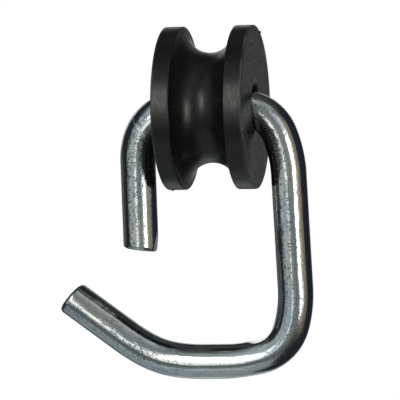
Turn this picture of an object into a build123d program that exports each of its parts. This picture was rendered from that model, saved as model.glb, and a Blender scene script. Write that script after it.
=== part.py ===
from build123d import *

import os
from math import atan2, cos, radians, sin, sqrt

# Ceiling fan hook: a round steel rod bent into an open loop, with a grooved rubber reel on its top run.
# Sizes are in millimetres. The origin is the middle of the reel's bore. X runs through the bore towards
# the long leg, Z is up, and the centreline of the rod lies in the XZ plane.

# Rubber reel
reel_diameter = 36.7
rim_width = 4.1
rim_rounding = 0.3
groove_depth = 6.0
seat_bar_diameter = 11.0
seat_clearance = 0.45
bore_clearance = 0.8
mouth_rounding = 1.5
mouth_clearance = 0.1
end_play = 1.1

# Specks of moulding flash left on the rims, placed by their turn about the bore from the top
flash_radius = 0.35
long_leg_flash_angle = 27.5
short_leg_flash_angle = 178.5

# Rod, listed as it is bent: straight runs, then radius and turn of each bend with its gentler ease
rod_diameter = 8.0
short_leg_straight = 20.25
left_ease_radius = 16.5
left_ease_angle = 17.4
left_bend_radius = 9.9
left_bend_angle = 72.4
right_bend_radius = 9.5
right_bend_angle = 69.6
right_ease_radius = 28.1
right_ease_angle = 18.9
long_leg_straight = 25.6
lower_ease_radius = 28.5
lower_ease_angle = 17.25
lower_bend_radius = 10.4
lower_bend_angle = 56.4
bottom_straight = 5.3
tip_ease_radius = 43.2
tip_ease_angle = 7.45
tip_bend_radius = 21.7
tip_bend_angle = 22.3
tip_straight = 15.35

# Tool marks on the lower bend: the nose of the former inside it, and the flat jaw outside it
former_radius = 5.0
former_bite = 0.66
former_share = 0.84
jaw_bite = 0.36
jaw_length = 14.0
jaw_share = 0.6

# Both ends are sheared off a little out of square, which pinched the short leg's side facing the loop
short_leg_cut_angle = 7.5
short_leg_cut_lean = -6.0
tip_cut_angle = 3.5
tip_cut_lean = 3.5
end_rounding = 1.0
shear_allowance = 1.5
pinch_depth = 0.75
pinch_length = 4.4

rod_radius = rod_diameter / 2
bore_radius = rod_radius + bore_clearance
reel_radius = reel_diameter / 2
groove_radius = seat_bar_diameter / 2 + seat_clearance
groove_bottom = reel_radius - groove_depth
reel_width = 2 * (groove_radius + rim_width)


def bend_entry(bend_radius):
    """How deep inside the reel's face a bend may start and still clear the rounded mouth of the bore."""
    across = bend_radius - rod_radius - mouth_rounding
    room = bore_clearance - mouth_clearance
    return mouth_rounding + sqrt(room * (2 * across - bore_clearance - mouth_clearance))


def bend(start, direction, *steps):
    """Tangent arcs from a start point, one for each (radius, turn) step."""
    arcs = []
    for radius, turn in steps:
        arc = JernArc(start, direction, radius, turn)
        arcs.append(arc)
        start, direction = arc @ 1, arc % 1
    return arcs


def straight(start, direction, length):
    """Line of a given length from a start point."""
    return Line(start, start + direction * length)


# Centreline of the rod, worked out both ways from the run inside the reel
with BuildLine(Plane.XZ) as centreline:
    right_start = reel_width / 2 - bend_entry(right_bend_radius)
    left_start = -(reel_width / 2 - bend_entry(left_bend_radius) + end_play)
    top_run = Line((left_start, 0), (right_start, 0))
    left_bend = bend(
        top_run @ 0,
        Vector(-1, 0, 0),
        (left_bend_radius, left_bend_angle),
        (left_ease_radius, left_ease_angle),
    )
    short_leg = straight(left_bend[-1] @ 1, left_bend[-1] % 1, short_leg_straight + shear_allowance)
    right_bend = bend(
        top_run @ 1,
        Vector(1, 0, 0),
        (right_bend_radius, -right_bend_angle),
        (right_ease_radius, -right_ease_angle),
    )
    long_leg = straight(right_bend[-1] @ 1, right_bend[-1] % 1, long_leg_straight)
    lower_bend = bend(
        long_leg @ 1,
        long_leg % 1,
        (lower_ease_radius, -lower_ease_angle),
        (lower_bend_radius, -lower_bend_angle),
        (lower_ease_radius, -lower_ease_angle),
    )
    bottom_run = straight(lower_bend[-1] @ 1, lower_bend[-1] % 1, bottom_straight)
    tip_bend = bend(
        bottom_run @ 1,
        bottom_run % 1,
        (tip_ease_radius, -tip_ease_angle),
        (tip_bend_radius, -tip_bend_angle),
        (tip_ease_radius, -tip_ease_angle),
    )
    tip_run = straight(tip_bend[-1] @ 1, tip_bend[-1] % 1, tip_straight + shear_allowance)


def section_plane(arc, share):
    """Plane across the rod at a share of an arc or line, with its own X in the plane of the loop."""
    direction = arc % share
    return Plane(origin=arc @ share, x_dir=direction.cross(Vector(0, 1, 0)), z_dir=direction)


with BuildPart() as hook_rod:
    with BuildSketch(section_plane(tip_run, 1)):
        Circle(rod_radius)
    sweep(path=centreline.edges())

    # Sheared ends with a rolled-over edge
    short_end = section_plane(short_leg, 1).offset(-shear_allowance)
    tip_end = section_plane(tip_run, 1).offset(-shear_allowance)
    for cut in (
        short_end.rotated((short_leg_cut_lean, short_leg_cut_angle, 0)),
        tip_end.rotated((tip_cut_lean, tip_cut_angle, 0)),
    ):
        with BuildSketch(cut):
            Circle(rod_diameter)
        extrude(amount=rod_diameter, mode=Mode.SUBTRACT)
    fillet(hook_rod.faces().filter_by(GeomType.PLANE).edges(), end_rounding)

    # Flat pinched into the short leg, which starts a little way up and is deepest at the end
    slope = atan2(pinch_depth, pinch_length)
    pinch_normal = short_end.x_dir * cos(slope) + short_end.z_dir * sin(slope)
    pinch_origin = short_end.origin + short_end.x_dir * (rod_radius - pinch_depth)
    with BuildSketch(Plane(origin=pinch_origin, x_dir=(0, 1, 0), z_dir=pinch_normal)):
        Rectangle(rod_diameter, 3 * pinch_length)
    extrude(amount=rod_radius, mode=Mode.SUBTRACT)

    # The former's nose bites into the inside of the lower bend
    bitten = section_plane(lower_bend[1], former_share)
    nose = bitten.origin - bitten.x_dir * (rod_radius - former_bite + former_radius)
    with Locations(Location(nose, (90, 0, 0))):
        Cylinder(former_radius, 2 * rod_diameter, mode=Mode.SUBTRACT)

    # The jaw flattens the outside, where the bend runs out into the bottom
    clamped = section_plane(lower_bend[2], jaw_share)
    jaw_origin = clamped.origin + clamped.x_dir * (rod_radius - jaw_bite)
    with BuildSketch(Plane(origin=jaw_origin, x_dir=clamped.z_dir, z_dir=clamped.x_dir)):
        Rectangle(jaw_length, rod_diameter)
    extrude(amount=rod_radius, mode=Mode.SUBTRACT)

hook_rod.part.label = "hook_rod"


with BuildPart() as rubber_reel:
    # Half section of the reel: two rims and a round groove that the ceiling bar sits in
    with BuildSketch(Plane.XZ) as reel_section:
        with Locations((0, (bore_radius + reel_radius) / 2)):
            Rectangle(reel_width, reel_radius - bore_radius)
        with Locations((0, groove_bottom + groove_radius)):
            Circle(groove_radius, mode=Mode.SUBTRACT)
        fillet(reel_section.vertices().group_by(Axis.Y)[-1], rim_rounding)
        fillet(reel_section.vertices().group_by(Axis.Y)[0], mouth_rounding)
    revolve(axis=Axis.X)

    # Specks of flash on the outer edges of both rims
    rim_edge = reel_radius - rim_rounding / 2
    rim_side = reel_width / 2 - rim_rounding / 2
    for side, turn in ((rim_side, long_leg_flash_angle), (-rim_side, short_leg_flash_angle)):
        with Locations((side, rim_edge * sin(radians(turn)), rim_edge * cos(radians(turn)))):
            Sphere(flash_radius)

rubber_reel.part.label = "rubber_reel"


os.makedirs("parts", exist_ok=True)
for piece in (hook_rod.part, rubber_reel.part):
    export_step(piece, f"parts/{piece.label}.step")
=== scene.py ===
"""Dresses the ceiling fan hook: a zinc-plated rod bent into an open loop, and a black rubber reel on it."""

from math import atan2, cos, pi, radians, sin, sqrt

import bmesh
import bpy
import numpy as np
from mathutils import Matrix, Vector


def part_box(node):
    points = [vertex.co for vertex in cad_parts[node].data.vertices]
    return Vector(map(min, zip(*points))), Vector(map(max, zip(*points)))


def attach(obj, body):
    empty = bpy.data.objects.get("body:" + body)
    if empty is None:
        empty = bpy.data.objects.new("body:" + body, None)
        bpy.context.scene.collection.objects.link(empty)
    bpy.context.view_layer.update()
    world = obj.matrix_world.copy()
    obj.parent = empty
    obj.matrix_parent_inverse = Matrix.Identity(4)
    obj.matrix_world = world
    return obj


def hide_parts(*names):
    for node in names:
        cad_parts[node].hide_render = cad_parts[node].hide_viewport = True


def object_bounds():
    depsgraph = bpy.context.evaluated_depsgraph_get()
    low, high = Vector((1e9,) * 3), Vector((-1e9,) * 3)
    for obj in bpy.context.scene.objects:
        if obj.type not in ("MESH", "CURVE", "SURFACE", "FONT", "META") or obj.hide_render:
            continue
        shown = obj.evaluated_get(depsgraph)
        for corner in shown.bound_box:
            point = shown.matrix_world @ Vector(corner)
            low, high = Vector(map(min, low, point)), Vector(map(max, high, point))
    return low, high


bl_info = {
    "name": "Ceiling fan hook",
    "version": (1, 0, 0),
    "blender": (4, 5, 0),
    "location": "3D View > Sidebar > Fan Hook",
    "description": "Builds the finished surfaces of a bent rod hook and its rubber reel on a fixed frame",
    "category": "Object",
}

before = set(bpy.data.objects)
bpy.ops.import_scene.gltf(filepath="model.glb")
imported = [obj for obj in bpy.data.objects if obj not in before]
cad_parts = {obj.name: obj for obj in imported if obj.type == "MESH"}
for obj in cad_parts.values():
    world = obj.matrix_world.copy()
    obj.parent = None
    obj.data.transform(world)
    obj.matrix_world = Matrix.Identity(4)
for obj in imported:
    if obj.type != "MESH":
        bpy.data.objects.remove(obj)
CAD_BOX = [list(corner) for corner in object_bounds()]
ROD_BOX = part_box("hook_rod")
REEL_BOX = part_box("rubber_reel")

# The rod's centreline in the order it is bent, from the short leg's end. A straight run gives its length in
# metres, and a bend its radius and its angle in degrees. The path turns clockwise as the camera sees it. The tip
# is a hair shorter than the solid's, which keeps its sheared edge inside the solid's box.
CENTRELINE = (
    ("short leg", 0.02025, 0.0),
    ("left ease", 0.0165, 17.4),
    ("left bend", 0.0099, 72.4),
    ("top run", 0.01362, 0.0),
    ("right bend", 0.0095, 69.6),
    ("right ease", 0.0281, 18.9),
    ("long leg", 0.0256, 0.0),
    ("lower ease in", 0.0285, 17.25),
    ("lower bend", 0.0104, 56.4),
    ("lower ease out", 0.0285, 17.25),
    ("bottom run", 0.0053, 0.0),
    ("tip ease in", 0.0432, 7.45),
    ("tip bend", 0.0217, 22.3),
    ("tip ease out", 0.0432, 7.45),
    ("tip", 0.01532, 0.0),
)
TOP_RUN_START = (-0.0073000, 0.0)

# The sheared ends: place of the middle, direction out of the rod, direction across it in the loop's plane,
# and the slopes of the cut, first that way and then towards the far side
SHEARED_ENDS = {
    "short leg": ((-0.017578, 0, -0.032088), (-0.003491, 0, -0.999994), (0.999994, 0, -0.003491), (0.132, 0.105)),
    "tip": ((-0.034596, 0, -0.042725), (-0.802817, 0, 0.596225), (-0.596225, 0, -0.802817), (0.061, -0.061)),
}
SHEAR_REACH = 0.003

# Flats pressed by tools: a spot on the face, the direction out of the rod, and how far from the spot it acts
PRESSED_FLATS = {
    "shear pinch": ((-0.014328, 0, -0.032149), (0.985189, 0, -0.171471), 0.0055),
    "clamping jaw": ((0.005225, 0, -0.061135), (0.130526, 0, -0.991445), 0.0075),
}
FORMER_NOSE = (0.007509, 0, -0.048336)
FORMER_NOSE_RADIUS = 0.005
PRESS_SOFTNESS = 0.00004

# Scratches in the plating, from one place to another: metres along the bar, and degrees round it from the side
# that faces the camera towards the inside of the loop. Then the half width, and how plainly each shows.
SCRATCHES = (
    ((0.0290, -67.0), (0.0273, 18.0), 0.00016, 0.9),
    ((0.0273, 18.0), (0.0206, 85.0), 0.00010, 0.5),
    ((0.0740, 40.5), (0.0826, 40.5), 0.00014, 0.7),
    ((0.0768, -53.0), (0.0788, -56.0), 0.00060, 0.35),
)

# Stretch at the bottom of the loop that plated smooth, with few pits: metres along the bar where it begins, is at
# its smoothest, starts to fade and ends
SMOOTH_STRETCH = (0.114, 0.119, 0.132, 0.139)
SMOOTH_STRETCH_PITS = 0.35

# Marks that are blended into the zinc and into the rubber
DRAWN_GREY = (0.36, 0.39, 0.40, 1.0)
PIT_GREY = (0.12, 0.13, 0.13, 1.0)
SCRATCH_WHITE = (0.92, 0.92, 0.90, 1.0)
# This grey is both the real wear on the rims' edges and the painted light of the paler ring round the bore's mouths
RUBBED_AND_PAINTED_LIGHT_GREY = (0.06, 0.06, 0.06, 1.0)
DUST_GREY = (0.16, 0.16, 0.15, 1.0)
RUBBER_GLOSS_TINT = (1.0, 0.98, 0.94, 1.0)

# Specks of moulding flash: how far towards the right or the left face, and the turn from the top to the back
FLASH_SPOTS = ((1.0, radians(27.5)), (-0.93, radians(187)))

# Fineness of the meshes, and the seeds of their noise
END_RINGS = 14
END_FACE_INSET = 0.0002
REEL_STEPS = 240
RIPPLE_SEED = 4.0
FLASH_SEED = 2.0


# Helpers for node trees and meshes


def wire(tree, kind, *inputs, out=0, named=None, **settings):
    """Adds a node, sets it up, feeds its inputs by place and by name, and returns one of its outputs."""
    made = tree.nodes.new(kind)
    for name, value in settings.items():
        setattr(made, name, value)
    for key, value in [*enumerate(inputs), *(named or {}).items()]:
        if isinstance(value, bpy.types.NodeSocket):
            tree.links.new(value, made.inputs[key])
        elif value is not None:
            made.inputs[key].default_value = value
    return made.outputs[out] if made.outputs else made


def maths(tree, operation, *values):
    """One step of arithmetic."""
    return wire(tree, "ShaderNodeMath", *values, operation=operation)


def vectors(tree, operation, *values, out=0):
    """One step of vector arithmetic."""
    return wire(tree, "ShaderNodeVectorMath", *values, operation=operation, out=out)


def ramp(tree, value, low, high, bottom=0.0, top=1.0):
    """Smooth step from bottom to top as a value goes from low to high."""
    return wire(tree, "ShaderNodeMapRange", value, low, high, bottom, top, interpolation_type="SMOOTHSTEP")


def mixed(tree, factor, first, second):
    """Blend of two colours."""
    return wire(tree, "ShaderNodeMix", data_type="RGBA", out=2, named={0: factor, 6: first, 7: second})


def grain(tree, where, size, detail=2.0, roughness=0.5, stretch=(1, 1, 1), shift=0.0):
    """Noise with grains of about the given size in metres, drawn out along each axis by stretch."""
    scaled = wire(
        tree,
        "ShaderNodeMapping",
        where,
        named={"Location": (shift, shift, shift), "Scale": [1 / (size * s) for s in stretch]},
    )
    return wire(
        tree, "ShaderNodeTexNoise", named={"Vector": scaled, "Scale": 1.0, "Detail": detail, "Roughness": roughness}
    )


def rgba(colour):
    """A colour property as a socket value."""
    return (*colour[:3], 1.0)


def new_object(name, data):
    """Links a new object at the origin."""
    made = bpy.data.objects.new(name, data)
    bpy.context.scene.collection.objects.link(made)
    return made


def give_modifier(source, tree, **values):
    """Puts a Geometry Nodes tree on an object, with its inputs set by their sockets' identifiers."""
    modifier = source.modifiers.new(tree.name, "NODES")
    modifier.node_group = tree
    sockets = {item.name: item.identifier for item in tree.interface.items_tree if item.in_out == "INPUT"}
    for name, value in values.items():
        modifier[sockets[name.replace("_", " ").title()]] = value


def baked(source, name):
    """Plain mesh object of what a source object evaluates to. The source goes, with its modifiers."""
    depsgraph = bpy.context.evaluated_depsgraph_get()
    depsgraph.update()
    mesh = bpy.data.meshes.new_from_object(source.evaluated_get(depsgraph))
    source.modifiers.clear()
    bpy.data.objects.remove(source)
    mesh.name = name
    return new_object(name, mesh)


def finish_piece(piece, body, slot, *nodes):
    """Puts a piece on its body, in place of its CAD nodes."""
    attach(piece, body)
    if nodes:
        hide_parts(*nodes)


# Rod


def centreline_points(spacing, end_rounding):
    """Points along the rod's centreline in the XZ plane, spaced as a quarter circle where the ends round over."""
    spots, headings, top_run = [], [], 0
    place, heading = np.zeros(2), radians(90)
    for name, size, angle in CENTRELINE:
        if name == "top run":
            top_run = len(spots)
        turn = radians(angle)
        count = max(2, round(size * (turn or 1) / spacing))
        centre = place + size * np.array((sin(heading), -cos(heading)))
        for share in np.arange(count) / count:
            now = heading - turn * share
            if turn:
                spots.append(centre + size * np.array((-sin(now), cos(now))))
            else:
                spots.append(place + size * share * np.array((cos(now), sin(now))))
            headings.append(now)
        heading -= turn
        if turn:
            place = centre + size * np.array((-sin(heading), cos(heading)))
        else:
            place = place + size * np.array((cos(heading), sin(heading)))
    spots = np.array([*spots, place])

    # Turned so that the top run is level, then moved to where it starts
    level = -headings[top_run]
    spots = spots @ np.array(((cos(level), sin(level)), (-sin(level), cos(level))))
    spots += np.array(TOP_RUN_START) - spots[top_run]

    steps = end_rounding * (1 - np.cos(np.linspace(0, pi / 2, END_RINGS)))
    first, last = spots[0], spots[-1]
    inwards = [(inner - end) / np.linalg.norm(inner - end) for end, inner in ((first, spots[3]), (last, spots[-4]))]
    middle = [
        spot
        for spot in spots
        if min(np.linalg.norm(spot - first), np.linalg.norm(spot - last)) > end_rounding + spacing / 2
    ]
    return np.vstack((first + steps[:, None] * inwards[0], middle, (last + steps[:, None] * inwards[1])[::-1]))


def path_object(spots):
    """Poly curve through the centreline's points."""
    curve = bpy.data.curves.new("rod_path", "CURVE")
    curve.dimensions = "3D"
    curve.twist_mode = "MINIMUM"
    line = curve.splines.new("POLY")
    line.points.add(len(spots) - 1)
    for point, (x, z) in zip(line.points, spots):
        point.co = (x, 0, z, 1)
    return new_object("rod_path", curve)


def swept_rod_tree():
    """Sweeps a round section along a path, rounds both ends over, ripples the skin, and stores each point's
    place on the straight bar."""
    tree = bpy.data.node_groups.new("Swept rod", "GeometryNodeTree")
    tree.interface.new_socket("Path", in_out="INPUT", socket_type="NodeSocketGeometry")
    for name, kind in (
        ("Rod Radius", "NodeSocketFloat"),
        ("End Rounding", "NodeSocketFloat"),
        ("Sides", "NodeSocketInt"),
        ("Ripple Height", "NodeSocketFloat"),
        ("Ripple Size", "NodeSocketFloat"),
        ("Ripple Seed", "NodeSocketFloat"),
        ("Plating", "NodeSocketMaterial"),
    ):
        tree.interface.new_socket(name, in_out="INPUT", socket_type=kind)
    tree.interface.new_socket("Rod", in_out="OUTPUT", socket_type="NodeSocketGeometry")
    given = tree.nodes.new("NodeGroupInput").outputs

    # Scale of the section along the path: full, and a quarter circle at each end
    here = wire(tree, "GeometryNodeSplineParameter", out=1)
    whole = wire(tree, "GeometryNodeSplineLength")
    to_end = maths(tree, "MINIMUM", here, maths(tree, "SUBTRACT", whole, here))
    rounding = given["End Rounding"]
    short_of = maths(tree, "MAXIMUM", maths(tree, "SUBTRACT", rounding, to_end), 0.0)
    squares = maths(
        tree, "SUBTRACT", maths(tree, "MULTIPLY", rounding, rounding), maths(tree, "MULTIPLY", short_of, short_of)
    )
    inset = maths(tree, "SUBTRACT", rounding, maths(tree, "SQRT", maths(tree, "MAXIMUM", squares, 0.0)))
    scale = maths(tree, "SUBTRACT", 1.0, maths(tree, "DIVIDE", inset, given["Rod Radius"]))

    def store(geometry, name, kind, value):
        return wire(
            tree,
            "GeometryNodeStoreNamedAttribute",
            geometry,
            data_type=kind,
            domain="POINT",
            named={"Name": name, "Value": value},
        )

    path = store(given["Path"], "along", "FLOAT", here)
    section = wire(
        tree,
        "GeometryNodeCurvePrimitiveCircle",
        mode="RADIUS",
        named={"Resolution": given["Sides"], "Radius": given["Rod Radius"]},
    )
    section = store(section, "section", "FLOAT_VECTOR", wire(tree, "GeometryNodeInputPosition"))
    rod = wire(tree, "GeometryNodeCurveToMesh", path, section, named={"Scale": scale, "Fill Caps": True})

    # Place on the straight bar: the place in the section, and how far along
    on_section = wire(tree, "GeometryNodeInputNamedAttribute", data_type="FLOAT_VECTOR", named={"Name": "section"})
    how_far = wire(tree, "GeometryNodeInputNamedAttribute", data_type="FLOAT", named={"Name": "along"})
    unbent = vectors(tree, "ADD", on_section, wire(tree, "ShaderNodeCombineXYZ", 0.0, 0.0, how_far))

    ripples = wire(
        tree,
        "ShaderNodeTexNoise",
        noise_dimensions="4D",
        named={
            "Vector": unbent,
            "W": given["Ripple Seed"],
            "Scale": maths(tree, "DIVIDE", 1.0, given["Ripple Size"]),
            "Detail": 1.0,
        },
    )
    rise = maths(tree, "MULTIPLY", maths(tree, "SUBTRACT", ripples, 1.0), given["Ripple Height"])
    outwards = wire(
        tree,
        "ShaderNodeVectorMath",
        wire(tree, "GeometryNodeInputNormal"),
        operation="SCALE",
        named={"Scale": rise},
    )
    rod = store(rod, "unbent", "FLOAT_VECTOR", unbent)
    rod = wire(tree, "GeometryNodeSetPosition", rod, named={"Offset": outwards})
    for spent in ("section", "along"):
        rod = wire(tree, "GeometryNodeRemoveAttribute", rod, named={"Name": spent})
    rod = wire(tree, "GeometryNodeSetShadeSmooth", rod)
    rod = wire(tree, "GeometryNodeRealizeInstances", rod)
    rod = wire(tree, "GeometryNodeSetMaterial", rod, named={"Material": given["Plating"]})
    tree.links.new(rod, tree.nodes.new("NodeGroupOutput").inputs[0])
    return tree


def pressed(beyond):
    """How far a tool's face moves points back that stood this far beyond it, with a softened edge."""
    return beyond + PRESS_SOFTNESS * np.logaddexp(0, -beyond / PRESS_SOFTNESS)


def mark_rod(mesh):
    """Shears the ends of the swept rod and presses the tools' marks into it."""
    spots = np.empty(len(mesh.vertices) * 3)
    mesh.vertices.foreach_get("co", spots)
    spots = spots.reshape(-1, 3)

    for middle, outward, across, (slope_across, slope_away) in SHEARED_ENDS.values():
        offset = spots - middle
        depth = -(offset @ np.array(outward))
        near = (depth < SHEAR_REACH) & (np.linalg.norm(offset, axis=1) < 2 * SHEAR_REACH)
        weight = np.where(near, 1 - np.clip(depth / SHEAR_REACH, 0, 1), 0)
        reach = (offset @ np.array(across)) * slope_across + offset[:, 1] * slope_away
        spots += (weight * reach)[:, None] * outward

    for spot, face, reach in PRESSED_FLATS.values():
        offset = spots - spot
        beyond = offset @ np.array(face)
        near = np.linalg.norm(offset, axis=1) < reach
        spots -= np.where(near, pressed(beyond), 0)[:, None] * face

    away = (spots - FORMER_NOSE) * (1, 0, 1)
    reach = np.linalg.norm(away, axis=1)
    bitten = np.where(reach < 1.5 * FORMER_NOSE_RADIUS, pressed(FORMER_NOSE_RADIUS - reach), 0)
    spots += (bitten / reach)[:, None] * away
    mesh.vertices.foreach_set("co", spots.ravel())

    # A ring inside each flat end keeps it flat to the eye
    shape = bmesh.new()
    shape.from_mesh(mesh)
    ends = [face for face in shape.faces if len(face.verts) > 4]
    bmesh.ops.inset_region(shape, faces=ends, thickness=END_FACE_INSET)
    bmesh.ops.recalc_face_normals(shape, faces=shape.faces)
    shape.to_mesh(mesh)
    shape.free()
    mesh.update()


def scratched(tree, bar, rod_radius):
    """Mask of the scratches, measured on the bar rolled out flat."""
    facing, inwards, along = (wire(tree, "ShaderNodeSeparateXYZ", bar, out=axis) for axis in range(3))
    round_bar = maths(tree, "MULTIPLY", maths(tree, "ARCTAN2", inwards, facing), rod_radius)
    rolled = wire(tree, "ShaderNodeCombineXYZ", round_bar, along)
    mask = 0.0
    for first, last, half_width, strength in SCRATCHES:
        start, end = (Vector((radians(turn) * rod_radius, place, 0)) for place, turn in (first, last))
        run = end - start
        offset = vectors(tree, "SUBTRACT", rolled, start)
        share = maths(tree, "DIVIDE", vectors(tree, "DOT_PRODUCT", offset, run, out=1), run.length_squared)
        share = wire(tree, "ShaderNodeClamp", share)
        nearest = wire(tree, "ShaderNodeVectorMath", run, operation="SCALE", named={"Scale": share})
        reach = vectors(tree, "LENGTH", vectors(tree, "SUBTRACT", offset, nearest), out=1)
        mask = maths(tree, "MAXIMUM", ramp(tree, reach, half_width / 2, half_width, strength, 0.0), mask)
    return mask


def zinc_plating(settings):
    """Bright zinc on drawn steel: soft patches of blue and straw, draw lines, fine dark pits and a few scratches."""
    material = bpy.data.materials.new("zinc plating")
    material.use_nodes = True
    tree = material.node_tree
    surface = tree.nodes["Principled BSDF"]
    bar = wire(tree, "ShaderNodeAttribute", attribute_name="unbent", attribute_type="GEOMETRY", out=1)

    patches = grain(tree, bar, 0.0022, detail=3.0, stretch=(1, 1, 5))
    clouds = grain(tree, bar, 0.0012, detail=4.0, roughness=0.6, stretch=(1, 1, 3), shift=3.1)
    speckle = grain(tree, bar, settings.speckle_size, detail=2.0, roughness=0.7, shift=7.7)
    draw_lines = grain(tree, bar, 0.0005, detail=3.0, stretch=(1, 1, 60), shift=1.3)

    tint = mixed(tree, ramp(tree, patches, 0.36, 0.64), rgba(settings.blue_zinc), rgba(settings.straw_zinc))
    tint = mixed(tree, ramp(tree, clouds, 0.42, 0.72, 0.0, 0.35), tint, rgba(settings.grey_zinc))
    tint = mixed(tree, ramp(tree, draw_lines, 0.50, 0.68, 0.0, 0.5), tint, DRAWN_GREY)

    # Dark pits where the plating is cloudy, mostly on the two sides that lay against the bending table
    laid = maths(tree, "ABSOLUTE", wire(tree, "ShaderNodeSeparateXYZ", bar))
    laid = ramp(tree, laid, 0.74 * settings.rod_radius, 0.96 * settings.rod_radius, 0.4, 1.0)
    along = wire(tree, "ShaderNodeSeparateXYZ", bar, out=2)
    begins, full, fades, ends = SMOOTH_STRETCH
    smooth = maths(tree, "MULTIPLY", ramp(tree, along, begins, full), ramp(tree, along, fades, ends, 1.0, 0.0))
    laid = maths(tree, "MULTIPLY", laid, ramp(tree, smooth, 0.0, 1.0, 1.0, SMOOTH_STRETCH_PITS))
    pits = maths(tree, "MULTIPLY", ramp(tree, speckle, 0.49, 0.60), ramp(tree, clouds, 0.34, 0.54))
    pits = maths(tree, "MULTIPLY", pits, laid)
    tint = mixed(tree, maths(tree, "MULTIPLY", pits, 0.8), tint, PIT_GREY)
    worn = scratched(tree, bar, settings.rod_radius)
    tint = mixed(tree, worn, tint, SCRATCH_WHITE)
    tree.links.new(tint, surface.inputs["Base Color"])

    clouded = ramp(tree, clouds, 0.3, 0.75, settings.gloss_roughness, 0.18)
    dull = maths(tree, "ADD", clouded, ramp(tree, pits, 0.0, 1.0, 0.0, 0.2))
    dull = maths(tree, "MAXIMUM", dull, maths(tree, "MULTIPLY", worn, 0.55))
    tree.links.new(dull, surface.inputs["Roughness"])
    surface.inputs["Metallic"].default_value = 1.0

    relief = maths(tree, "MULTIPLY", speckle, maths(tree, "MULTIPLY", laid, ramp(tree, clouds, 0.35, 0.65, 0.2, 1.0)))
    bumped = wire(
        tree, "ShaderNodeBump", named={"Strength": 0.8, "Distance": settings.speckle_depth, "Height": relief}
    )
    bumped = wire(
        tree,
        "ShaderNodeBump",
        named={"Strength": 0.8, "Distance": settings.draw_line_depth, "Height": draw_lines, "Normal": bumped},
    )
    tree.links.new(bumped, surface.inputs["Normal"])
    return material


# Reel


def reel_section(settings):
    """Half section of the reel as (x, radius) points, from the bore's left mouth round over the rims."""
    half, outer, rounding = settings.width / 2, settings.diameter / 2, settings.rim_rounding
    groove_centre = outer - settings.groove_depth + settings.groove_radius
    corner_x = sqrt((settings.groove_radius + rounding) ** 2 - (outer - rounding - groove_centre) ** 2)
    corner_turn = atan2(outer - rounding - groove_centre, corner_x)

    def arc(x, radius, size, start, end, count):
        return [(x + size * cos(t), radius + size * sin(t)) for t in np.linspace(start, end, count)]

    mouth = settings.bore_radius + settings.mouth_rounding
    right = [
        *arc(0, groove_centre, settings.groove_radius, -pi / 2, corner_turn, 26)[1:],
        *arc(corner_x, outer - rounding, rounding, corner_turn + pi, pi / 2, 7)[1:],
        *[(x, outer) for x in np.linspace(corner_x, half - rounding, 6)[1:-1]],
        *arc(half - rounding, outer - rounding, rounding, pi / 2, 0, 7),
        *[(half, radius) for radius in np.linspace(outer - rounding, mouth, 14)[1:-1]],
        *arc(half - settings.mouth_rounding, mouth, settings.mouth_rounding, 0, -pi / 2, 10),
    ]
    bore = [(x, settings.bore_radius) for x in np.linspace(half, -half, 14)[2:-2]]
    left = [(-x, radius) for x, radius in reversed(right)]
    return [*left, (0, groove_centre - settings.groove_radius), *right, *bore]


def turned_mesh(name, section, steps):
    """Closed mesh of a section of (x, radius) points turned about the X axis."""
    count = len(section)
    turns = np.linspace(0, 2 * pi, steps, endpoint=False)
    spots = [(x, radius * sin(t), radius * cos(t)) for t in turns for x, radius in section]
    faces = [
        (here + j, here + (j + 1) % count, after + (j + 1) % count, after + j)
        for here, after in ((i * count, (i + 1) % steps * count) for i in range(steps))
        for j in range(count)
    ]
    mesh = bpy.data.meshes.new(name)
    mesh.from_pydata(spots, [], faces)
    shape = bmesh.new()
    shape.from_mesh(mesh)
    bmesh.ops.recalc_face_normals(shape, faces=shape.faces)
    shape.to_mesh(mesh)
    shape.free()
    mesh.shade_smooth()
    return mesh


def speck_tree():
    """Puts a round speck on each point, and makes each one uneven in its own way."""
    tree = bpy.data.node_groups.new("Flash specks", "GeometryNodeTree")
    tree.interface.new_socket("Spots", in_out="INPUT", socket_type="NodeSocketGeometry")
    for name, kind in (
        ("Speck Radius", "NodeSocketFloat"),
        ("Unevenness", "NodeSocketFloat"),
        ("Seed", "NodeSocketFloat"),
        ("Rubber", "NodeSocketMaterial"),
    ):
        tree.interface.new_socket(name, in_out="INPUT", socket_type=kind)
    tree.interface.new_socket("Specks", in_out="OUTPUT", socket_type="NodeSocketGeometry")
    given = tree.nodes.new("NodeGroupInput").outputs
    ball = wire(tree, "GeometryNodeMeshIcoSphere", named={"Radius": given["Speck Radius"], "Subdivisions": 4})
    specks = wire(tree, "GeometryNodeInstanceOnPoints", given["Spots"], named={"Instance": ball})
    specks = wire(tree, "GeometryNodeRealizeInstances", specks)
    lumps = wire(
        tree,
        "ShaderNodeTexNoise",
        noise_dimensions="4D",
        named={"W": given["Seed"], "Scale": maths(tree, "DIVIDE", 0.7, given["Speck Radius"]), "Detail": 1.0},
    )
    rise = maths(tree, "MULTIPLY", maths(tree, "SUBTRACT", lumps, 0.5), given["Unevenness"])
    offset = wire(
        tree, "ShaderNodeVectorMath", wire(tree, "GeometryNodeInputNormal"), operation="SCALE", named={"Scale": rise}
    )
    specks = wire(tree, "GeometryNodeSetPosition", specks, named={"Offset": offset})
    specks = wire(tree, "GeometryNodeSetShadeSmooth", specks)
    specks = wire(tree, "GeometryNodeRealizeInstances", specks)
    specks = wire(tree, "GeometryNodeSetMaterial", specks, named={"Material": given["Rubber"]})
    tree.links.new(specks, tree.nodes.new("NodeGroupOutput").inputs[0])
    return tree


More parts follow.
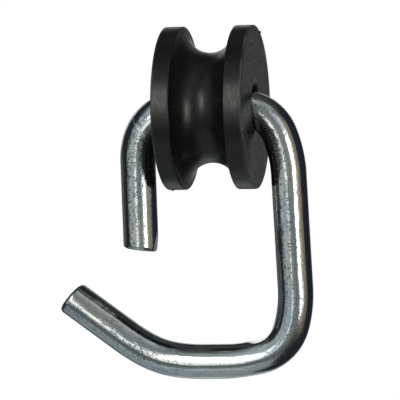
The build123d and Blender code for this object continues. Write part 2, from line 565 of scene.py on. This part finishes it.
def moulded_rubber(settings):
    """Satin black rubber: a fine moulded skin, faint dust, worn rim edges, and painted light: a paler ring at the
    bore's mouths.
    """
    material = bpy.data.materials.new("moulded rubber")
    material.use_nodes = True
    tree = material.node_tree
    surface = tree.nodes["Principled BSDF"]
    where = wire(tree, "ShaderNodeTexCoord", out=3)
    x, y, z = (wire(tree, "ShaderNodeSeparateXYZ", where, out=axis) for axis in range(3))
    radius = maths(tree, "SQRT", maths(tree, "ADD", maths(tree, "MULTIPLY", y, y), maths(tree, "MULTIPLY", z, z)))

    round_bore = maths(tree, "MULTIPLY", maths(tree, "ARCTAN2", y, z), settings.diameter / 2)
    moulded = wire(tree, "ShaderNodeCombineXYZ", x, round_bore, radius)
    skin = grain(tree, moulded, 0.0007, detail=3.0, roughness=0.55, stretch=(1, 2.5, 1))
    bloom = grain(tree, where, 0.006, detail=3.0, shift=2.2)
    dust = grain(tree, where, 0.00032, detail=1.0, shift=5.5)

    shade = mixed(tree, ramp(tree, bloom, 0.35, 0.7), rgba(settings.rubber_colour), rgba(settings.bloom_colour))
    rim = ramp(tree, radius, settings.diameter / 2 - 0.0005, settings.diameter / 2 - 0.0001)
    side = ramp(tree, maths(tree, "ABSOLUTE", x), settings.width / 2 - 0.0006, settings.width / 2 - 0.0001)
    worn = maths(tree, "MULTIPLY", maths(tree, "MULTIPLY", rim, side), ramp(tree, bloom, 0.3, 0.6, 0.3, 1.0))
    shade = mixed(tree, maths(tree, "MULTIPLY", worn, 0.5), shade, RUBBED_AND_PAINTED_LIGHT_GREY)
    shade = mixed(tree, ramp(tree, dust, 0.74, 0.82, 0.0, 0.3), shade, DUST_GREY)

    # Painted light: a paler ring painted round the bore's mouths, which lightens the shade in the gap beside the rod
    # so it doesn't look too deep
    bore, face = settings.bore_radius, settings.width / 2
    past_bore = ramp(tree, radius, bore + 0.0004, bore + 0.0009)
    before_face = ramp(tree, radius, bore + 0.0013, bore + 0.0018, 1.0, 0.0)
    near_face = ramp(tree, maths(tree, "ABSOLUTE", x), face - 0.0012, face - 0.0005)
    painted_light_ring = maths(tree, "MULTIPLY", maths(tree, "MULTIPLY", past_bore, before_face), near_face)
    shade = mixed(tree, maths(tree, "MULTIPLY", painted_light_ring, 0.8), shade, RUBBED_AND_PAINTED_LIGHT_GREY)
    tree.links.new(shade, surface.inputs["Base Color"])
    rough = ramp(tree, skin, 0.3, 0.7, settings.roughness - 0.05, settings.roughness + 0.06)
    tree.links.new(rough, surface.inputs["Roughness"])
    bumped = wire(tree, "ShaderNodeBump", named={"Strength": 0.3, "Distance": 0.00004, "Height": skin})
    tree.links.new(bumped, surface.inputs["Normal"])
    surface.inputs["Specular IOR Level"].default_value = 0.46
    surface.inputs["Specular Tint"].default_value = RUBBER_GLOSS_TINT
    return material


# Studio

# Light and dark parts of the room as the hook sees them: azimuth from the camera and height, both in degrees,
# then half width, half height, softness of the edge in degrees, and colour
ROOM = (
    ("upper room", 0, 88, 180, 40, 10, (0.050, 0.057, 0.057)),
    ("upper front", -48, 51, 38, 12, 9, (0.32, 0.35, 0.35)),
    ("upper right", 30, 57, 32, 12, 8, (0.46, 0.47, 0.47)),
    ("overhead", 0, 76, 22, 8, 8, (0.36, 0.38, 0.37)),
    ("ground", -92, -75, 103, 37, 7, (0.26, 0.30, 0.32)),
    ("ground's near end", 15, -80, 30, 9, 7, (0.22, 0.25, 0.27)),
    ("ground glow", -42, -47, 26, 11, 10, (0.41, 0.46, 0.475)),
    ("left rim", -135, -8, 20, 6, 6, (0.11, 0.115, 0.11)),
    ("left wall", -49, 16, 24, 33, 5, (0.39, 0.45, 0.465)),
    ("middle", -3, 10, 28, 42, 10, (0.22, 0.24, 0.235)),
    ("ground edge", -25, -27, 42, 7, 6, (0.11, 0.13, 0.13)),
    ("right shade", 58, 5, 16, 32, 14, (0.34, 0.29, 0.21)),
    ("right edge", 98, 0, 22, 40, 8, (0.016, 0.021, 0.034)),
    ("behind right", 165, -8, 13, 42, 8, (0.23, 0.235, 0.245)),
    ("behind left", -160, 13, 20, 12, 8, (0.72, 0.74, 0.72)),
    ("behind low", 180, -46, 14, 14, 6, (0.50, 0.53, 0.56)),
    ("right halo", 33, 29, 14, 12, 8, (0.68, 0.69, 0.78)),
    ("left streak", -21, -4, 5, 9, 4, (1.25, 1.27, 1.32)),
    ("left softbox", -26.5, 13, 8, 9, 4, (4.5, 4.5, 4.5)),
    ("left softbox's top", -25, 28, 7, 8, 4, (4.5, 4.5, 4.5)),
    ("right softbox", 35, -1, 8.5, 15, 4, (4.3, 4.3, 4.2)),
)
ROOM_SHADE = (0.020, 0.023, 0.028, 1.0)


def room_panel_tree():
    """Mask of a rectangle of the room, by azimuth and height in degrees, with softened edges."""
    tree = bpy.data.node_groups.new("Room panel", "ShaderNodeTree")
    for name in ("Azimuth", "Height", "At Azimuth", "At Height", "Half Width", "Half Height", "Softness"):
        tree.interface.new_socket(name, in_out="INPUT", socket_type="NodeSocketFloat")
    tree.interface.new_socket("Mask", in_out="OUTPUT", socket_type="NodeSocketFloat")
    given = tree.nodes.new("NodeGroupInput").outputs

    def edge(off, half):
        outer = maths(tree, "ADD", half, given["Softness"])
        inner = maths(tree, "SUBTRACT", half, given["Softness"])
        return ramp(tree, maths(tree, "ABSOLUTE", off), inner, outer, 1.0, 0.0)

    sideways = maths(tree, "WRAP", maths(tree, "SUBTRACT", given["Azimuth"], given["At Azimuth"]), 180.0, -180.0)
    upwards = maths(tree, "SUBTRACT", given["Height"], given["At Height"])
    mask = maths(tree, "MULTIPLY", edge(sideways, given["Half Width"]), edge(upwards, given["Half Height"]))
    tree.links.new(mask, tree.nodes.new("NodeGroupOutput").inputs[0])
    return tree


def build_room(settings):
    """World that is a plain white backdrop to the camera, and a studio with lamps and dark flags to the hook."""
    world = bpy.data.worlds.new("studio")
    world.use_nodes = True
    bpy.context.scene.world = world
    tree = world.node_tree
    tree.nodes.clear()
    direction = wire(tree, "ShaderNodeTexCoord", out=0)
    x, y, z = (wire(tree, "ShaderNodeSeparateXYZ", direction, out=axis) for axis in range(3))
    turn = maths(tree, "DEGREES", maths(tree, "ARCTAN2", x, maths(tree, "MULTIPLY", y, -1.0)))
    azimuth = maths(tree, "SUBTRACT", turn, settings.camera_azimuth / radians(1))
    height = maths(tree, "DEGREES", maths(tree, "ARCSINE", z))
    panel = room_panel_tree()
    colour = None
    for name, at_azimuth, at_height, half_width, half_height, softness, shade in ROOM:
        group = tree.nodes.new("ShaderNodeGroup")
        group.node_tree = panel
        group.label = name
        for socket, value in zip(
            group.inputs, (azimuth, height, at_azimuth, at_height, half_width, half_height, softness)
        ):
            if isinstance(value, bpy.types.NodeSocket):
                tree.links.new(value, socket)
            else:
                socket.default_value = value
        colour = mixed(tree, group.outputs[0], colour or ROOM_SHADE, rgba(shade))
    room = wire(tree, "ShaderNodeBackground", colour, settings.room_strength)
    backdrop = wire(tree, "ShaderNodeBackground", (1.0, 1.0, 1.0, 1.0), 1.0)

    # The camera sees the backdrop all round, and gloss and glass see it straight behind the hook
    path = wire(tree, "ShaderNodeLightPath", out=0).node.outputs
    behind = ramp(tree, maths(tree, "ABSOLUTE", maths(tree, "WRAP", azimuth, 180.0, -180.0)), 168.0, 174.0)
    level = ramp(tree, maths(tree, "ABSOLUTE", height), 12.0, 18.0, 1.0, 0.0)
    shiny = maths(tree, "MAXIMUM", path["Is Glossy Ray"], path["Is Transmission Ray"])
    seen = maths(tree, "MULTIPLY", shiny, maths(tree, "MULTIPLY", behind, level))
    seen = maths(tree, "MAXIMUM", path["Is Camera Ray"], seen)
    shown = wire(tree, "ShaderNodeMixShader", seen, room, backdrop)
    tree.links.new(shown, tree.nodes.new("ShaderNodeOutputWorld").inputs[0])


def floor_material(settings):
    """Pale floor that keeps the shadow near the hook, fades into the backdrop further out, and isn't seen in gloss."""
    material = bpy.data.materials.new("floor")
    material.use_nodes = True
    tree = material.node_tree
    tree.nodes.clear()
    out = wire(tree, "ShaderNodeTexCoord", out=3)
    far = ramp(tree, vectors(tree, "LENGTH", vectors(tree, "MULTIPLY", out, (1, 1, 0)), out=1), 0.13, 0.24)
    pale = wire(tree, "ShaderNodeBsdfDiffuse", rgba(settings.floor_colour))
    clear = wire(tree, "ShaderNodeBsdfTransparent")
    glossy = wire(tree, "ShaderNodeLightPath", out=3)
    open_to = maths(tree, "MAXIMUM", far, glossy)
    tree.links.new(
        wire(tree, "ShaderNodeMixShader", open_to, pale, clear), tree.nodes.new("ShaderNodeOutputMaterial").inputs[0]
    )
    return material


def build_fill(name, azimuth, height, distance, size, radiance):
    """Soft lamp for matt surfaces only: the room's panels stand for it in gloss."""
    back = Vector((sin(azimuth) * cos(height), -cos(azimuth) * cos(height), sin(height)))
    data = bpy.data.lights.new(name, "AREA")
    data.size = size
    data.energy = pi * size * size * radiance
    lamp = new_object(name, data)
    lamp.matrix_world = Matrix.Translation(back * distance) @ back.to_track_quat("Z", "Y").to_matrix().to_4x4()
    lamp.visible_camera = lamp.visible_glossy = False


def build_camera(settings):
    """Long-lens camera at the photograph's viewing angle."""
    a, e, r = settings.camera_azimuth, settings.camera_height, settings.camera_roll
    back = Vector((sin(a) * cos(e), -cos(a) * cos(e), sin(e)))
    level_right = Vector((cos(a), sin(a), 0))
    level_up = back.cross(level_right)
    right = cos(r) * level_right - sin(r) * level_up
    up = sin(r) * level_right + cos(r) * level_up
    data = bpy.data.cameras.new("camera")
    data.sensor_width = 36
    data.lens = settings.lens
    data.clip_start, data.clip_end = 0.01, 20
    camera = new_object("camera", data)
    place = back * settings.camera_distance - right * settings.camera_pan[0] - up * settings.camera_pan[1]
    camera.matrix_world = Matrix.Translation(place) @ Matrix((right, up, back)).transposed().to_4x4()
    bpy.context.scene.camera = camera


# Settings, operators and panel


class RodSettings(bpy.types.PropertyGroup):
    """Sizes and finish of the bent rod."""

    rod_radius: bpy.props.FloatProperty(
        name="Rod radius", description="Radius of the round bar", default=ROD_BOX[1][1], unit="LENGTH", precision=5
    )
    end_rounding: bpy.props.FloatProperty(
        name="End rounding", description="Radius rolled over at both ends", default=0.001, unit="LENGTH", precision=5
    )
    spacing: bpy.props.FloatProperty(
        name="Ring spacing",
        description="Distance between rings of the mesh",
        default=0.00035,
        unit="LENGTH",
        precision=5,
    )
    sides: bpy.props.IntProperty(name="Sides", description="Points round the rod", default=80, min=12)
    ripple_height: bpy.props.FloatProperty(
        name="Ripple height",
        description="Height of the skin's shallow ripples",
        default=0.00001,
        unit="LENGTH",
        precision=6,
    )
    ripple_size: bpy.props.FloatProperty(
        name="Ripple size",
        description="Length of the skin's shallow ripples",
        default=0.005,
        unit="LENGTH",
        precision=5,
    )
    speckle_size: bpy.props.FloatProperty(
        name="Speckle size", description="Size of the plating's grains", default=0.00050, unit="LENGTH", precision=6
    )
    speckle_depth: bpy.props.FloatProperty(
        name="Speckle depth", description="Relief of the plating's grains", default=0.00004, unit="LENGTH", precision=6
    )
    draw_line_depth: bpy.props.FloatProperty(
        name="Draw line depth",
        description="Relief of the lines from drawing the bar",
        default=0.00004,
        unit="LENGTH",
        precision=6,
    )
    gloss_roughness: bpy.props.FloatProperty(
        name="Gloss roughness", description="Roughness where the plating is brightest", default=0.10, min=0.0, max=1.0
    )
    blue_zinc: bpy.props.FloatVectorProperty(
        name="Blue zinc",
        description="Cool patches of the plating",
        subtype="COLOR",
        default=(0.70, 0.78, 0.81),
        min=0,
        max=1,
    )
    straw_zinc: bpy.props.FloatVectorProperty(
        name="Straw zinc",
        description="Warm patches of the plating",
        subtype="COLOR",
        default=(0.82, 0.82, 0.75),
        min=0,
        max=1,
    )
    grey_zinc: bpy.props.FloatVectorProperty(
        name="Grey zinc",
        description="Cloudy patches of the plating",
        subtype="COLOR",
        default=(0.52, 0.55, 0.54),
        min=0,
        max=1,
    )


class ReelSettings(bpy.types.PropertyGroup):
    """Sizes and finish of the rubber reel."""

    diameter: bpy.props.FloatProperty(
        name="Diameter", description="Across the rims", default=2 * REEL_BOX[1][1], unit="LENGTH", precision=5
    )
    width: bpy.props.FloatProperty(
        name="Width", description="Over both rims, along the bore", default=0.0201, unit="LENGTH", precision=5
    )
    groove_depth: bpy.props.FloatProperty(
        name="Groove depth",
        description="From the rims to the groove's bottom",
        default=0.006,
        unit="LENGTH",
        precision=5,
    )
    groove_radius: bpy.props.FloatProperty(
        name="Groove radius", description="Radius of the round groove", default=0.00595, unit="LENGTH", precision=5
    )
    bore_radius: bpy.props.FloatProperty(
        name="Bore radius",
        description="Radius of the bore that the rod runs through",
        default=0.0048,
        unit="LENGTH",
        precision=5,
    )
    rim_rounding: bpy.props.FloatProperty(
        name="Rim rounding", description="Radius on the rims' edges", default=0.0003, unit="LENGTH", precision=5
    )
    mouth_rounding: bpy.props.FloatProperty(
        name="Mouth rounding", description="Radius on the bore's mouths", default=0.0015, unit="LENGTH", precision=5
    )
    flash_radius: bpy.props.FloatProperty(
        name="Flash radius",
        description="Radius of a speck of moulding flash",
        default=0.00035,
        unit="LENGTH",
        precision=6,
    )
    roughness: bpy.props.FloatProperty(
        name="Roughness", description="Roughness of the rubber's skin", default=0.30, min=0.0, max=1.0
    )
    rubber_colour: bpy.props.FloatVectorProperty(
        name="Rubber",
        description="Colour of the rubber",
        subtype="COLOR",
        default=(0.0032, 0.0031, 0.0030),
        min=0,
        max=1,
    )
    bloom_colour: bpy.props.FloatVectorProperty(
        name="Bloom",
        description="Paler patches of the rubber's skin",
        subtype="COLOR",
        default=(0.0055, 0.0052, 0.0050),
        min=0,
        max=1,
    )


class StudioSettings(bpy.types.PropertyGroup):
    """Camera, light and floor."""

    camera_azimuth: bpy.props.FloatProperty(
        name="Azimuth",
        description="Camera's turn to the right of the loop's normal",
        default=radians(11.913),
        subtype="ANGLE",
    )
    camera_height: bpy.props.FloatProperty(
        name="Height", description="Camera's angle above the reel", default=radians(7.0), subtype="ANGLE"
    )
    camera_roll: bpy.props.FloatProperty(
        name="Roll", description="Camera's turn about its own axis", default=radians(2.146), subtype="ANGLE"
    )
    camera_distance: bpy.props.FloatProperty(
        name="Distance", description="From the camera to the reel", default=0.540953, unit="LENGTH", precision=5
    )
    camera_pan: bpy.props.FloatVectorProperty(
        name="Pan",
        description="How far the camera stands left of and below the reel",
        size=2,
        default=(0.002675, 0.020678),
        subtype="XYZ",
        unit="LENGTH",
        precision=5,
    )
    lens: bpy.props.FloatProperty(name="Lens", description="Focal length in millimetres", default=217.14)
    room_strength: bpy.props.FloatProperty(name="Room strength", description="Brightness of the studio", default=1.0)
    fill_strength: bpy.props.FloatProperty(
        name="Fill strength", description="Radiance of the soft lamps on matt surfaces", default=1.9
    )
    floor_drop: bpy.props.FloatProperty(
        name="Floor drop", description="From the hook's lowest point to the floor", default=0.06, unit="LENGTH"
    )
    floor_colour: bpy.props.FloatVectorProperty(
        name="Floor", description="Colour of the floor", subtype="COLOR", default=(0.8, 0.8, 0.8), min=0, max=1
    )


class FANHOOK_OT_bend_rod(bpy.types.Operator):
    """Sweep, shear and mark the zinc-plated rod"""

    bl_idname = "fanhook.bend_rod"
    bl_label = "Bend Rod"

    def execute(self, context):
        settings = context.scene.fan_hook_rod
        path = path_object(centreline_points(settings.spacing, settings.end_rounding))
        give_modifier(
            path,
            swept_rod_tree(),
            rod_radius=settings.rod_radius,
            end_rounding=settings.end_rounding,
            sides=settings.sides,
            ripple_height=settings.ripple_height,
            ripple_size=settings.ripple_size,
            ripple_seed=RIPPLE_SEED,
            plating=zinc_plating(settings),
        )
        rod = baked(path, "bent_rod")
        mark_rod(rod.data)
        finish_piece(rod, "hook", "zinc_steel", "hook_rod")
        return {"FINISHED"}


class FANHOOK_OT_turn_reel(bpy.types.Operator):
    """Turn the grooved rubber reel"""

    bl_idname = "fanhook.turn_reel"
    bl_label = "Turn Reel"

    def execute(self, context):
        settings = context.scene.fan_hook_reel
        rubber = moulded_rubber(settings)
        reel = new_object("grooved_reel", turned_mesh("grooved_reel", reel_section(settings), REEL_STEPS))
        reel.data.materials.append(rubber)
        finish_piece(reel, "reel", "black_rubber", "rubber_reel")

        edge, side = settings.diameter / 2 - settings.rim_rounding / 2, settings.width / 2 - settings.rim_rounding / 2
        spots = bpy.data.meshes.new("flash_spots")
        spots.from_pydata([(x * side, edge * sin(turn), edge * cos(turn)) for x, turn in FLASH_SPOTS], [], [])
        source = new_object("flash_spots", spots)
        give_modifier(
            source,
            speck_tree(),
            speck_radius=settings.flash_radius,
            unevenness=settings.flash_radius / 3,
            seed=FLASH_SEED,
            rubber=rubber,
        )
        finish_piece(baked(source, "flash_specks"), "reel", "black_rubber")
        return {"FINISHED"}


class FANHOOK_OT_set_studio(bpy.types.Operator):
    """Set the camera, the studio's light and the floor"""

    bl_idname = "fanhook.set_studio"
    bl_label = "Set Studio"

    def execute(self, context):
        settings = context.scene.fan_hook_studio
        build_camera(settings)
        build_room(settings)
        build_fill("top fill", 0, radians(89), 0.6, 0.9, settings.fill_strength)
        build_fill("left fill", settings.camera_azimuth - radians(35), radians(20), 0.7, 0.6, settings.fill_strength)
        build_fill("right fill", settings.camera_azimuth + radians(35), radians(20), 0.7, 0.6, settings.fill_strength)
        mesh = bpy.data.meshes.new("floor")
        level = CAD_BOX[0][2] - settings.floor_drop
        mesh.from_pydata([(x, y, level) for x, y in ((-1, -1), (1, -1), (1, 1), (-1, 1))], [], [(0, 1, 2, 3)])
        mesh.materials.append(floor_material(settings))
        new_object("floor", mesh)
        context.scene.view_settings.view_transform = "Standard"
        return {"FINISHED"}


class FANHOOK_PT_sidebar(bpy.types.Panel):
    """Lists the hook's pieces and its studio"""

    bl_idname = "FANHOOK_PT_sidebar"
    bl_label = "Ceiling Fan Hook"
    bl_space_type = "VIEW_3D"
    bl_region_type = "UI"
    bl_category = "Fan Hook"

    def draw(self, context):
        for operator, group in (
            ("fanhook.bend_rod", context.scene.fan_hook_rod),
            ("fanhook.turn_reel", context.scene.fan_hook_reel),
            ("fanhook.set_studio", context.scene.fan_hook_studio),
        ):
            box = self.layout.box()
            for name in group.bl_rna.properties.keys():
                if name not in ("rna_type", "name"):
                    box.prop(group, name)
            box.operator(operator)


CLASSES = (
    RodSettings,
    ReelSettings,
    StudioSettings,
    FANHOOK_OT_bend_rod,
    FANHOOK_OT_turn_reel,
    FANHOOK_OT_set_studio,
    FANHOOK_PT_sidebar,
)


def register():
    for cls in CLASSES:
        bpy.utils.register_class(cls)
    bpy.types.Scene.fan_hook_rod = bpy.props.PointerProperty(type=RodSettings)
    bpy.types.Scene.fan_hook_reel = bpy.props.PointerProperty(type=ReelSettings)
    bpy.types.Scene.fan_hook_studio = bpy.props.PointerProperty(type=StudioSettings)


def unregister():
    del bpy.types.Scene.fan_hook_studio
    del bpy.types.Scene.fan_hook_reel
    del bpy.types.Scene.fan_hook_rod
    for cls in reversed(CLASSES):
        bpy.utils.unregister_class(cls)


def main():
    register()
    bpy.ops.fanhook.bend_rod()
    bpy.ops.fanhook.turn_reel()
    bpy.ops.fanhook.set_studio()


if __name__ == "__main__":
    main()
